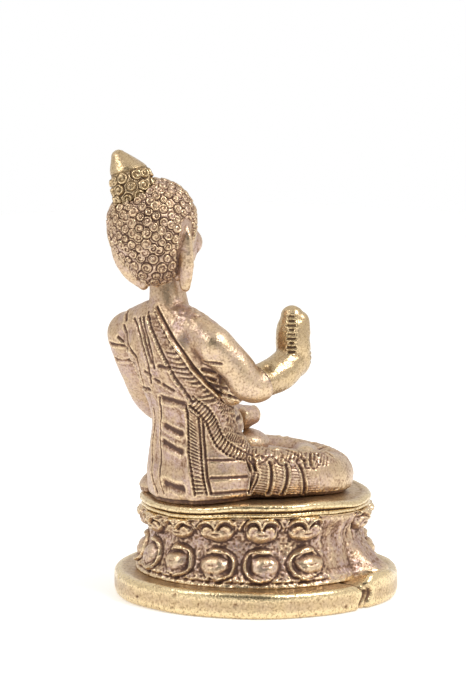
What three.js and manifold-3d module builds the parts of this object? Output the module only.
// A small brass statue of a seated Buddha on a round double-lotus throne.
//
// Millimetres, +Z up. The figure looks along -Y, so its right hand is at -X and its back at +Y.
// The origin is the middle of the foot plate's flat underside.
//
// The statue is cast in pieces. The foot plate, the hollow lotus drum and the seat plate are a stack, held
// together and to the figure by two long rivets. The head sits over a spigot on the neck, the crown knob
// stands on a peg, the right forearm hangs on a dowel and the left hand's wrist goes into the sleeve.
import * as THREE from 'three';
import { mergeVertices } from 'three/addons/utils/BufferGeometryUtils.js';
import Module from 'manifold-3d';

const wasm = await Module();
wasm.setup();

// ---------------------------------------------------------------- driving dimensions

const JOINT_GAP = 0.3;          // air left between any two pieces that meet

// Foot plate
const PLATE_RADIUS = 24.2;
const PLATE_THICKNESS = 4.4;
const PLATE_EDGE_ROUND = 0.7;
const PLATE_BOSS_HEIGHT = 1.5;  // the raised disc that centres the drum

// Lotus drum
const DRUM_HEIGHT = 11.3;
const DRUM_WAIST_RADIUS = 18.3;
const DRUM_FOOT_FLARE = 2.1;    // how far the foot stands out from the waist
const DRUM_WALL = 3.1;          // from the bore to the waist
const DRUM_BORE_RADIUS = DRUM_WAIST_RADIUS - DRUM_WALL;
const PETAL_PLACES = 16;        // places round the drum; those at the two sides are left plain
const PETAL_HALF_WIDTH = 2.95;
const PETAL_HALF_HEIGHT = 2.35;
const UPPER_PETAL_BULGE = 1.8;
const LOWER_PETAL_BULGE = 1.9;
const SIDE_LUMP_ANGLE = 26;     // degrees in front of the plain sides where a smooth lump stands

// Seat plate
const SEAT_THICKNESS = 2.2;
const SEAT_LIP_RADIUS = 19.7;
const SEAT_LIP_THICKNESS = 1.2;
const SEAT_GROOVE_DEPTH = 0.5;
const SEAT_BOSS_HEIGHT = 1.5;

// Long rivets
const RIVET_RADIUS = 1.2;
const RIVET_HEAD_RADIUS = 2.2;
const RIVET_HEAD_THICKNESS = 0.9;
const RIVET_SPACING = 11;
const RIVET_BACK = 10;          // how far behind the origin the rivets stand
const RIVET_GRIP = 6;           // length inside the figure

// Figure, all heights above the seat
const FOOT_RING_HEIGHT = 0.8;   // the undercut between the robe's hem and the seat
const FOOT_RING_INSET = 1;
const SHOULDER_HEIGHT = 27;
const SHOULDER_HALF_SPAN = 10.6;
const SHOULDER_BACK = 19.3;
const SHOULDER_RADIUS = 3.5;
const ELBOW_RADIUS = 2.9;
const KNEE_RADIUS = 4.1;
const KNEE_HALF_SPAN = 13.3;    // middle of the figure to a knee's centre
const NECK_RADIUS = 2.6;
const NECK_SPIGOT_RADIUS = 1.9;
const NECK_SPIGOT_LENGTH = 3;
const HEAD_HALF_WIDTH = 6.8;
const HEAD_HALF_DEPTH = 7.2;
const HEAD_HALF_HEIGHT = 9.2;
const HEAD_TURN = 12;           // degrees that the face turns to its left
const EAR_LENGTH = 9.6;
const EAR_SLANT = 20;           // degrees that the lobes lean in towards the neck
const EAR_RISE = 3.2;           // an ear's middle above the lowest level of the head
const KNOB_RADIUS = 3.5;
const KNOB_HEIGHT = 4.4;
const JEWEL_HEIGHT = 3.7;
const KNOB_PEG_RADIUS = 1.2;
const KNOB_PEG_LENGTH = 3;
const DOWEL_RADIUS = 0.8;
const NECK_DOWEL_LENGTH = 5;
const ELBOW_DOWEL_LENGTH = 4;
const HAND_HALF_WIDTH = 2.7;
const HAND_HALF_THICKNESS = 1.6;
const HAND_LENGTH = 10;
const WRIST_RADIUS = 2.5;
const CUFF_RADIUS = 2.7;
const LEFT_WRIST_RADIUS = 1.5;
const CUFF_SOCKET_DEPTH = 2.2;

// ---------------------------------------------------------------- heights of the stack

const DRUM_BOTTOM = PLATE_THICKNESS + JOINT_GAP;
const DRUM_TOP = DRUM_BOTTOM + DRUM_HEIGHT;
const SEAT_BOTTOM = DRUM_TOP + JOINT_GAP;
const SEAT_TOP = SEAT_BOTTOM + SEAT_THICKNESS;
const FIGURE_BOTTOM = SEAT_TOP + JOINT_GAP;

const point = (x, y, up) => new THREE.Vector3(x, y, SEAT_TOP + up);

// ---------------------------------------------------------------- solids

// A closed three.js geometry as a manifold solid.
function solid(geometry) {
  const bare = geometry.index ? geometry.toNonIndexed() : geometry.clone();
  bare.deleteAttribute('normal');
  bare.deleteAttribute('uv');
  const merged = mergeVertices(bare, 1e-4);
  return new wasm.Manifold(new wasm.Mesh({
    numProp: 3,
    vertProperties: new Float32Array(merged.attributes.position.array),
    triVerts: new Uint32Array(merged.index.array),
  }));
}

// A manifold solid as a three.js geometry.
function geometryOf(manifold) {
  const mesh = manifold.getMesh();
  const geometry = new THREE.BufferGeometry();
  geometry.setAttribute('position', new THREE.BufferAttribute(mesh.vertProperties, 3));
  geometry.setIndex(new THREE.BufferAttribute(mesh.triVerts, 1));
  const faceted = geometry.toNonIndexed();
  faceted.computeVertexNormals();
  return faceted;
}

const join = (...pieces) => pieces.reduce((whole, piece) => whole.add(piece));
const cut = (piece, ...tools) => tools.reduce((rest, tool) => rest.subtract(tool), piece);

// A solid of revolution round Z from [radius, height] pairs.
function turned(profile, segments = 48) {
  const outline = profile.map(([radius, height]) => new THREE.Vector2(radius, height));
  return solid(new THREE.LatheGeometry(outline, segments).rotateX(Math.PI / 2));
}

// An ellipsoid with its three half-axes, turned by a quaternion and placed.
function ellipsoid(centre, half, turn = new THREE.Quaternion(), around = 16, down = 10) {
  const place = new THREE.Matrix4().compose(centre, turn, new THREE.Vector3(...half));
  const ball = new THREE.SphereGeometry(1, around, down).rotateX(Math.PI / 2);
  return solid(ball.applyMatrix4(place));
}

// A straight round bar from one point to another.
function bar(from, to, radius, segments = 16) {
  const axis = to.clone().sub(from);
  const turn = new THREE.Quaternion().setFromUnitVectors(new THREE.Vector3(0, 1, 0), axis.clone().normalize());
  const middle = from.clone().add(to).multiplyScalar(0.5);
  const place = new THREE.Matrix4().compose(middle, turn, new THREE.Vector3(1, 1, 1));
  return solid(new THREE.CylinderGeometry(radius, radius, axis.length(), segments).applyMatrix4(place));
}

// A skin over a row of rings, closed at both ends by fans.
function skin(rings) {
  const sides = rings[0].length;
  const positions = rings.flat().flatMap((p) => [p.x, p.y, p.z]);
  const index = [];
  for (let row = 0; row + 1 < rings.length; row += 1) {
    for (let side = 0; side < sides; side += 1) {
      const a = row * sides + side;
      const b = row * sides + (side + 1) % sides;
      index.push(a, b, b + sides, a, b + sides, a + sides);
    }
  }
  const last = (rings.length - 1) * sides;
  for (let side = 1; side + 1 < sides; side += 1) {
    index.push(0, side + 1, side);
    index.push(last, last + side, last + side + 1);
  }
  const geometry = new THREE.BufferGeometry();
  geometry.setAttribute('position', new THREE.Float32BufferAttribute(positions, 3));
  geometry.setIndex(index);
  return solid(geometry);
}

// A level elliptical ring: counter-clockwise seen from above.
function levelRing(centre, wide, deep, sides) {
  return Array.from({ length: sides }, (_, side) => {
    const angle = (side / sides) * 2 * Math.PI;
    return new THREE.Vector3(centre.x + wide * Math.cos(angle), centre.y + deep * Math.sin(angle), centre.z);
  });
}

// A limb: round rings of changing radius along a smooth path through its knots, with a ball at both ends.
function limb(knots, steps, sides = 14) {
  const path = new THREE.CatmullRomCurve3(knots.map(([at]) => at), false, 'centripetal');
  const frames = path.computeFrenetFrames(steps);
  const rings = [];
  for (let step = 0; step <= steps; step += 1) {
    const share = step / steps;
    const centre = path.getPoint(share);
    const knot = share * (knots.length - 1);
    const before = Math.min(Math.floor(knot), knots.length - 2);
    const radius = THREE.MathUtils.lerp(knots[before][1], knots[before + 1][1], knot - before);
    const tangent = path.getTangent(share);
    const across = frames.normals[step].clone();
    across.addScaledVector(tangent, -across.dot(tangent)).normalize();
    const beside = new THREE.Vector3().crossVectors(tangent, across);
    rings.push(Array.from({ length: sides }, (_, side) => {
      const angle = (side / sides) * 2 * Math.PI;
      return centre.clone()
        .addScaledVector(across, radius * Math.cos(angle))
        .addScaledVector(beside, radius * Math.sin(angle));
    }));
  }
  const ends = [knots[0], knots[knots.length - 1]];
  const balls = ends.map(([at, radius]) => ellipsoid(at, [radius, radius, radius], undefined, sides, 6));
  return join(skin(rings), ...balls);
}

// ---------------------------------------------------------------- throne

const rivetPlaces = [-RIVET_SPACING / 2, RIVET_SPACING / 2].map((x) => new THREE.Vector2(x, RIVET_BACK));
const RIVET_HEAD_BOTTOM = JOINT_GAP;
const RIVET_TOP = FIGURE_BOTTOM + RIVET_GRIP;

function rivet(place, grow) {
  const headTop = RIVET_HEAD_BOTTOM + RIVET_HEAD_THICKNESS + grow;
  const headBottom = RIVET_HEAD_BOTTOM - 2 * grow;
  const shank = turned([[0, headTop - 0.1], [RIVET_RADIUS + grow, headTop - 0.1],
    [RIVET_RADIUS + grow, RIVET_TOP + grow], [0, RIVET_TOP + grow]], 16);
  const head = turned([[0, headBottom], [RIVET_HEAD_RADIUS + grow, headBottom],
    [RIVET_HEAD_RADIUS + grow, headTop], [0, headTop]], 20);
  return join(shank, head).translate([place.x, place.y, 0]);
}

const rivetHoles = rivetPlaces.map((place) => rivet(place, JOINT_GAP));

function footPlate() {
  const e = PLATE_EDGE_ROUND;
  const bossRadius = DRUM_BORE_RADIUS - JOINT_GAP;
  const plate = turned([
    [0, 0], [PLATE_RADIUS - e, 0], [PLATE_RADIUS - 0.3 * e, 0.3 * e], [PLATE_RADIUS, e],
    [PLATE_RADIUS, PLATE_THICKNESS - e], [PLATE_RADIUS - 0.3 * e, PLATE_THICKNESS - 0.3 * e],
    [PLATE_RADIUS - e, PLATE_THICKNESS], [bossRadius, PLATE_THICKNESS],
    [bossRadius, PLATE_THICKNESS + PLATE_BOSS_HEIGHT], [0, PLATE_THICKNESS + PLATE_BOSS_HEIGHT],
  ], 40);
  return cut(plate, ...rivetHoles);
}

// Rows of lotus petals: bulging lobes half sunk in the drum's wall.
function petalRow(height, wallRadius, bulge) {
  const petals = [];
  for (let place = 0; place < PETAL_PLACES; place += 1) {
    const angle = (place / PETAL_PLACES) * 2 * Math.PI;
    const isPlainSide = place % (PETAL_PLACES / 2) === 0;
    if (!isPlainSide) {
      const turn = new THREE.Quaternion().setFromAxisAngle(new THREE.Vector3(0, 0, 1), angle);
      const centre = new THREE.Vector3(wallRadius * Math.cos(angle), wallRadius * Math.sin(angle), height);
      petals.push(ellipsoid(centre, [bulge, PETAL_HALF_WIDTH, PETAL_HALF_HEIGHT], turn, 7, 4));
    }
  }
  return petals;
}

function lotusDrum() {
  const waist = DRUM_BOTTOM + 0.62 * DRUM_HEIGHT;
  const foot = DRUM_WAIST_RADIUS + DRUM_FOOT_FLARE;
  const wall = turned([
    [DRUM_BORE_RADIUS, DRUM_BOTTOM], [foot, DRUM_BOTTOM], [foot, DRUM_BOTTOM + 0.8],
    [DRUM_WAIST_RADIUS + 0.35 * DRUM_FOOT_FLARE, DRUM_BOTTOM + 0.36 * DRUM_HEIGHT],
    [DRUM_WAIST_RADIUS, waist], [DRUM_WAIST_RADIUS + 0.4, DRUM_TOP], [DRUM_BORE_RADIUS, DRUM_TOP],
    [DRUM_BORE_RADIUS, DRUM_BOTTOM],
  ], 40);
  const upper = petalRow(DRUM_TOP - PETAL_HALF_HEIGHT, DRUM_WAIST_RADIUS, UPPER_PETAL_BULGE);
  const lowerHeight = DRUM_BOTTOM + 1.9 + PETAL_HALF_HEIGHT;
  const lower = petalRow(lowerHeight, DRUM_WAIST_RADIUS + 0.4 * DRUM_FOOT_FLARE, LOWER_PETAL_BULGE);
  const lumps = [180 + SIDE_LUMP_ANGLE, 360 - SIDE_LUMP_ANGLE].map((degrees) => {
    const angle = THREE.MathUtils.degToRad(degrees);
    const turn = new THREE.Quaternion().setFromAxisAngle(new THREE.Vector3(0, 0, 1), angle);
    const reach = DRUM_WAIST_RADIUS + 0.5 * DRUM_FOOT_FLARE;
    const centre = new THREE.Vector3(reach * Math.cos(angle), reach * Math.sin(angle), DRUM_BOTTOM + 2.6);
    return ellipsoid(centre, [2.4, 4.2, 2.5], turn, 10, 6);
  });
  return cut(join(wall, ...upper, ...lower, ...lumps), ...rivetHoles);
}

function seatPlate() {
  const bossRadius = DRUM_BORE_RADIUS - JOINT_GAP;
  const lowerLip = SEAT_LIP_RADIUS - 0.3;
  const grooveRadius = SEAT_LIP_RADIUS - 0.3 - SEAT_GROOVE_DEPTH;
  const lipBottom = SEAT_TOP - SEAT_LIP_THICKNESS;
  const plate = turned([
    [0, SEAT_BOTTOM - SEAT_BOSS_HEIGHT], [bossRadius, SEAT_BOTTOM - SEAT_BOSS_HEIGHT],
    [bossRadius, SEAT_BOTTOM], [lowerLip, SEAT_BOTTOM], [lowerLip, SEAT_BOTTOM + 0.5],
    [grooveRadius, lipBottom - 0.2], [grooveRadius, lipBottom], [SEAT_LIP_RADIUS, lipBottom + 0.25],
    [SEAT_LIP_RADIUS, SEAT_TOP - 0.35], [SEAT_LIP_RADIUS - 0.4, SEAT_TOP], [0, SEAT_TOP],
  ], 40);
  return cut(plate, ...rivetHoles);
}

// ---------------------------------------------------------------- figure

// The trunk's level rings: height above the seat, how far left and back its centre lies, half-width, half-depth.
const TRUNK = [
  { up: 0.9, left: 0.5, back: 11.8, wide: 10.4, deep: 7.7 },
  { up: 4, left: 0.5, back: 12, wide: 10.4, deep: 7.9 },
  { up: 8, left: 0.4, back: 12.9, wide: 9, deep: 7 },
  { up: 11.5, left: 0.2, back: 14, wide: 7.7, deep: 6.2 },
  { up: 14.5, left: 0.1, back: 14.9, wide: 7.6, deep: 6 },
  { up: 18.5, left: 0.2, back: 16.2, wide: 8.5, deep: 6.3 },
  { up: 22.5, left: 0.3, back: 17.4, wide: 9.3, deep: 6.2 },
  { up: 26, left: 0.4, back: 18.4, wide: 9.4, deep: 5.6 },
  { up: 28.6, left: 0.5, back: 19.1, wide: 8, deep: 4.6 },
  { up: 30.4, left: 0.6, back: 19.5, wide: 5.4, deep: 3.8 },
  { up: 32, left: 0.8, back: 19.8, wide: 3.3, deep: 3 },
];

const neckFoot = point(0.8, 19.8, 31);
const headAxis = new THREE.Vector3(0.22, 0.146, 1).normalize();
const headCentre = point(2.7, 20.3, 44.2);
const neckTop = headCentre.clone().addScaledVector(headAxis, 2 - HEAD_HALF_HEIGHT);
const headTilt = new THREE.Quaternion().setFromUnitVectors(new THREE.Vector3(0, 0, 1), headAxis);
const headTurn = new THREE.Quaternion().setFromAxisAngle(
  new THREE.Vector3(0, 0, 1), THREE.MathUtils.degToRad(HEAD_TURN));
const headPose = headTilt.clone().multiply(headTurn);
const inHead = (x, y, z) => new THREE.Vector3(x, y, z).applyQuaternion(headPose).add(headCentre);

const rightShoulder = point(-SHOULDER_HALF_SPAN + 0.4, SHOULDER_BACK - 0.5, SHOULDER_HEIGHT);
const leftShoulder = point(SHOULDER_HALF_SPAN, SHOULDER_BACK + 0.2, SHOULDER_HEIGHT);
const rightElbow = point(-12.9, 13.6, 19);
const rightWrist = point(-13.5, 5.2, 22.4);
const leftElbow = point(12.8, 11, 13.6);
const cuff = point(4.6, 4.4, 12);
const forearmAxis = rightWrist.clone().sub(rightElbow).normalize();
const elbowJoint = rightElbow.clone().addScaledVector(forearmAxis, 1.6);
const leftForearmAxis = cuff.clone().sub(leftElbow).normalize();

function trunk() {
  const rings = TRUNK.map((row) => levelRing(point(row.left, row.back, row.up), row.wide, row.deep, 20));
  const base = TRUNK[0];
  const footCentre = point(base.left, base.back, JOINT_GAP);
  const footTopCentre = point(base.left, base.back, FOOT_RING_HEIGHT + 0.5);
  const footWide = base.wide - FOOT_RING_INSET;
  const footDeep = base.deep - FOOT_RING_INSET;
  const footRing = skin([
    levelRing(footCentre, footWide, footDeep, 20), levelRing(footTopCentre, footWide, footDeep, 20),
  ]);
  return join(skin(rings), footRing);
}

// One folded leg, from the hip over the knee to the foot that lies sole up on the other thigh.
// side is -1 for the figure's right leg and 1 for its left; lift raises the shin that crosses on top.
function leg(side, lift) {
  const knots = [
    [point(side * 5.5, 10, 3.6), 4.3],
    [point(side * 10.4, 5, 3.4), 4.3],
    [point(side * KNEE_HALF_SPAN, -1.6, 3.1), KNEE_RADIUS],
    [point(side * 11, -8.6, 2.7), 3.3],
    [point(side * 3.5, -11.6, 2.8 + lift), 3],
    [point(-side * 4, -8, 4.9 + lift), 2.3],
    [point(-side * 8.5, -3.5, 6.4 + 0.4 * lift), 1.8],
  ];
  return limb(knots, 13, 9);
}

function body() {
  const neck = limb([[neckFoot, NECK_RADIUS + 0.5], [neckTop.clone().lerp(neckFoot, 0.35), NECK_RADIUS]], 2, 14);
  const spigotTop = neckTop.clone().addScaledVector(headAxis, NECK_SPIGOT_LENGTH);
  const spigot = bar(neckFoot, spigotTop, NECK_SPIGOT_RADIUS, 14);
  const yoke = limb([[rightShoulder, SHOULDER_RADIUS - 0.3], [point(-5, 19.2, 28.4), 3.3],
    [point(0.8, 19.8, 29.6), 3.4], [point(6, 20, 28.8), 3.3], [leftShoulder, SHOULDER_RADIUS - 0.3]], 6, 9);
  const rightUpperArm = limb([[rightShoulder, SHOULDER_RADIUS], [point(-12.4, 15.6, 22.9), 3],
    [rightElbow, ELBOW_RADIUS]], 5, 10);
  const leftArm = limb([[leftShoulder, SHOULDER_RADIUS], [point(12.4, 15.6, 19.5), 3.3],
    [leftElbow, 3], [cuff, CUFF_RADIUS]], 7, 10);
  const lap = ellipsoid(point(0, 1, 3), [11, 10, 3.2], undefined, 14, 6);
  const spreadHem = ellipsoid(point(12, 9.5, 0.8), [5, 5, 2.8], undefined, 12, 6);
  const whole = join(trunk(), leg(-1, 0.6), leg(1, 0), lap, spreadHem, neck, spigot, yoke,
    rightUpperArm, leftArm);
  const below = bar(point(0, 0, FOOT_RING_HEIGHT - 40), point(0, 0, JOINT_GAP), 60, 8);
  const elbowCut = bar(elbowJoint, elbowJoint.clone().addScaledVector(forearmAxis, 6), 4.2, 20);
  const socketMouth = cuff.clone().addScaledVector(leftForearmAxis, CUFF_RADIUS + 1);
  const socketEnd = cuff.clone().addScaledVector(leftForearmAxis, CUFF_RADIUS - CUFF_SOCKET_DEPTH - 0.5);
  const cuffSocket = bar(socketEnd, socketMouth, LEFT_WRIST_RADIUS + JOINT_GAP);
  const cuffFace = bar(cuff.clone().addScaledVector(leftForearmAxis, CUFF_RADIUS - 0.5),
    cuff.clone().addScaledVector(leftForearmAxis, CUFF_RADIUS + 2), CUFF_RADIUS + 1);
  return cut(whole, below, elbowCut, cuffSocket, cuffFace, dowelHole('neck'), dowelHole('elbow'), ...rivetHoles);
}

// The dowels: each lies half in one piece and half in the other.
const dowels = {
  neck: {
    middle: neckTop.clone().addScaledVector(headAxis, NECK_SPIGOT_LENGTH + JOINT_GAP / 2),
    axis: headAxis,
    length: NECK_DOWEL_LENGTH,
  },
  elbow: {
    middle: elbowJoint.clone().addScaledVector(forearmAxis, JOINT_GAP / 2),
    axis: forearmAxis,
    length: ELBOW_DOWEL_LENGTH,
  },
};

function dowelBar(name, grow) {
  const { middle, axis, length } = dowels[name];
  const half = length / 2 + grow;
  return bar(middle.clone().addScaledVector(axis, -half), middle.clone().addScaledVector(axis, half),
    DOWEL_RADIUS + grow, 12);
}

function dowelHole(name) {
  return dowelBar(name, JOINT_GAP);
}

const crownSeat = inHead(0, 2, HEAD_HALF_HEIGHT - 3.3);

function head() {
  const skull = ellipsoid(inHead(0, 0.6, 0.6), [HEAD_HALF_WIDTH, HEAD_HALF_DEPTH, HEAD_HALF_HEIGHT - 0.6],
    headPose, 18, 11);
  const face = ellipsoid(inHead(0, -2, -2.4), [5.2, 5, 6.6], headPose, 12, 8);
  const nose = ellipsoid(inHead(0, -6.9, -1.6), [0.8, 1, 2.1], headPose, 8, 6);
  const ears = [-1, 1].map((side) => {
    const slant = new THREE.Quaternion().setFromAxisAngle(
      new THREE.Vector3(0, 1, 0), side * THREE.MathUtils.degToRad(EAR_SLANT));
    const centre = inHead(side * (HEAD_HALF_WIDTH - 1.3), -0.6, EAR_RISE - HEAD_HALF_HEIGHT);
    return ellipsoid(centre, [0.9, 1.7, EAR_LENGTH / 2], headPose.clone().multiply(slant), 7, 6);
  });
  const spigotTop = neckTop.clone().addScaledVector(headAxis, NECK_SPIGOT_LENGTH);
  const socketTop = spigotTop.clone().addScaledVector(headAxis, JOINT_GAP);
  const socket = bar(neckFoot, socketTop, NECK_SPIGOT_RADIUS + JOINT_GAP, 14);
  const neckClear = limb([[neckFoot, NECK_RADIUS + 0.5 + JOINT_GAP],
    [neckTop.clone().lerp(neckFoot, 0.35), NECK_RADIUS + JOINT_GAP]], 2, 14);
  const pegHole = bar(crownSeat.clone().addScaledVector(headAxis, -KNOB_PEG_LENGTH - JOINT_GAP),
    crownSeat.clone().addScaledVector(headAxis, 3), KNOB_PEG_RADIUS + JOINT_GAP);
  const crownFlat = bar(crownSeat, crownSeat.clone().addScaledVector(headAxis, 5), KNOB_RADIUS + JOINT_GAP, 20);
  return cut(join(skull, face, nose, ...ears), socket, neckClear, pegHole, crownFlat, dowelHole('neck'));
}

function ushnishaJewel() {
  const r = KNOB_RADIUS;
  const h = KNOB_HEIGHT;
  const knob = turned([
    [0, -KNOB_PEG_LENGTH], [KNOB_PEG_RADIUS, -KNOB_PEG_LENGTH], [KNOB_PEG_RADIUS, JOINT_GAP],
    [r * 0.93, JOINT_GAP], [r, h * 0.35], [r * 0.97, h * 0.7], [r * 0.8, h], [r * 0.84, h + 0.4],
    [r * 0.78, h + 0.3 * JEWEL_HEIGHT], [r * 0.55, h + 0.68 * JEWEL_HEIGHT],
    [r * 0.27, h + 0.93 * JEWEL_HEIGHT], [0, h + JEWEL_HEIGHT],
  ], 20);
  const place = new THREE.Matrix4().compose(crownSeat, headTilt, new THREE.Vector3(1, 1, 1));
  return knob.transform(place.elements);
}

function rightForearm() {
  const start = elbowJoint.clone().addScaledVector(forearmAxis, -1);
  const arm = limb([[start, ELBOW_RADIUS - 0.1], [rightElbow.clone().lerp(rightWrist, 0.6), 2.7],
    [rightWrist, WRIST_RADIUS]], 4, 10);
  const half = HAND_LENGTH / 2;
  const palmCentre = rightWrist.clone().add(new THREE.Vector3(0.1, 0.2, half - 1));
  const palm = ellipsoid(palmCentre, [HAND_HALF_WIDTH, HAND_HALF_THICKNESS, half], undefined, 10, 8);
  const heel = ellipsoid(rightWrist.clone().add(new THREE.Vector3(0, -0.8, 0.4)), [2.4, 2, 2.4], undefined, 10, 6);
  const thumb = limb([
    [palmCentre.clone().add(new THREE.Vector3(2, -0.5, -2)), 0.9],
    [palmCentre.clone().add(new THREE.Vector3(2.5, -0.9, 1)), 0.7],
  ], 2, 8);
  const jointFace = elbowJoint.clone().addScaledVector(forearmAxis, JOINT_GAP);
  const behindJoint = bar(jointFace.clone().addScaledVector(forearmAxis, -8), jointFace, 8, 20);
  return cut(join(arm, heel, palm, thumb), behindJoint, dowelHole('elbow'));
}

function leftHand() {
  const face = cuff.clone().addScaledVector(leftForearmAxis, CUFF_RADIUS - 0.5 + JOINT_GAP);
  const root = face.clone().addScaledVector(leftForearmAxis, JOINT_GAP - CUFF_SOCKET_DEPTH);
  const wrist = bar(root, face.clone().addScaledVector(leftForearmAxis, 1), LEFT_WRIST_RADIUS);
  const palmCentre = face.clone().addScaledVector(leftForearmAxis, 2.2).add(new THREE.Vector3(-0.6, 0.2, -0.4));
  const palm = ellipsoid(palmCentre, [3, 1.9, 1.5], undefined, 12, 8);
  const fingers = limb([
    [palmCentre.clone().add(new THREE.Vector3(-1.4, 0.2, 0)), 1.2],
    [palmCentre.clone().add(new THREE.Vector3(-3, 0.6, 0.5)), 0.9],
    [palmCentre.clone().add(new THREE.Vector3(-3.3, 0.6, 1.8)), 0.7],
  ], 3, 8);
  const thumb = limb([
    [palmCentre.clone().add(new THREE.Vector3(0.6, -0.6, 0.8)), 0.9],
    [palmCentre.clone().add(new THREE.Vector3(-1.2, -0.6, 2)), 0.7],
  ], 2, 8);
  const whole = join(palm, fingers, thumb);
  const behindFace = bar(face.clone().addScaledVector(leftForearmAxis, -8), face, 6, 20);
  return join(cut(whole, behindFace), wrist);
}

// ---------------------------------------------------------------- the statue

const brass = (colour, roughness) => new THREE.MeshStandardMaterial({ color: colour, roughness, metalness: 1 });

const statue = new THREE.Group();

function add(name, piece, material) {
  const mesh = new THREE.Mesh(geometryOf(piece), material);
  mesh.name = name;
  statue.add(mesh);
}

const wornBrass = brass('#b89a5c', 0.38);
const castBrass = brass('#a58a62', 0.5);
const rivetBrass = brass('#c2a468', 0.35);

add('foot_plate', footPlate(), wornBrass);
add('lotus_drum', lotusDrum(), castBrass);
add('seat_plate', seatPlate(), wornBrass);
add('body', body(), castBrass);
add('head', head(), castBrass);
add('ushnisha_jewel', ushnishaJewel(), wornBrass);
add('right_forearm', rightForearm(), wornBrass);
add('left_hand', leftHand(), castBrass);
add('tie_rivet_right', rivet(rivetPlaces[0], 0), rivetBrass);
add('tie_rivet_left', rivet(rivetPlaces[1], 0), rivetBrass);
add('neck_dowel', dowelBar('neck', 0), rivetBrass);
add('elbow_dowel', dowelBar('elbow', 0), rivetBrass);

export default statue;
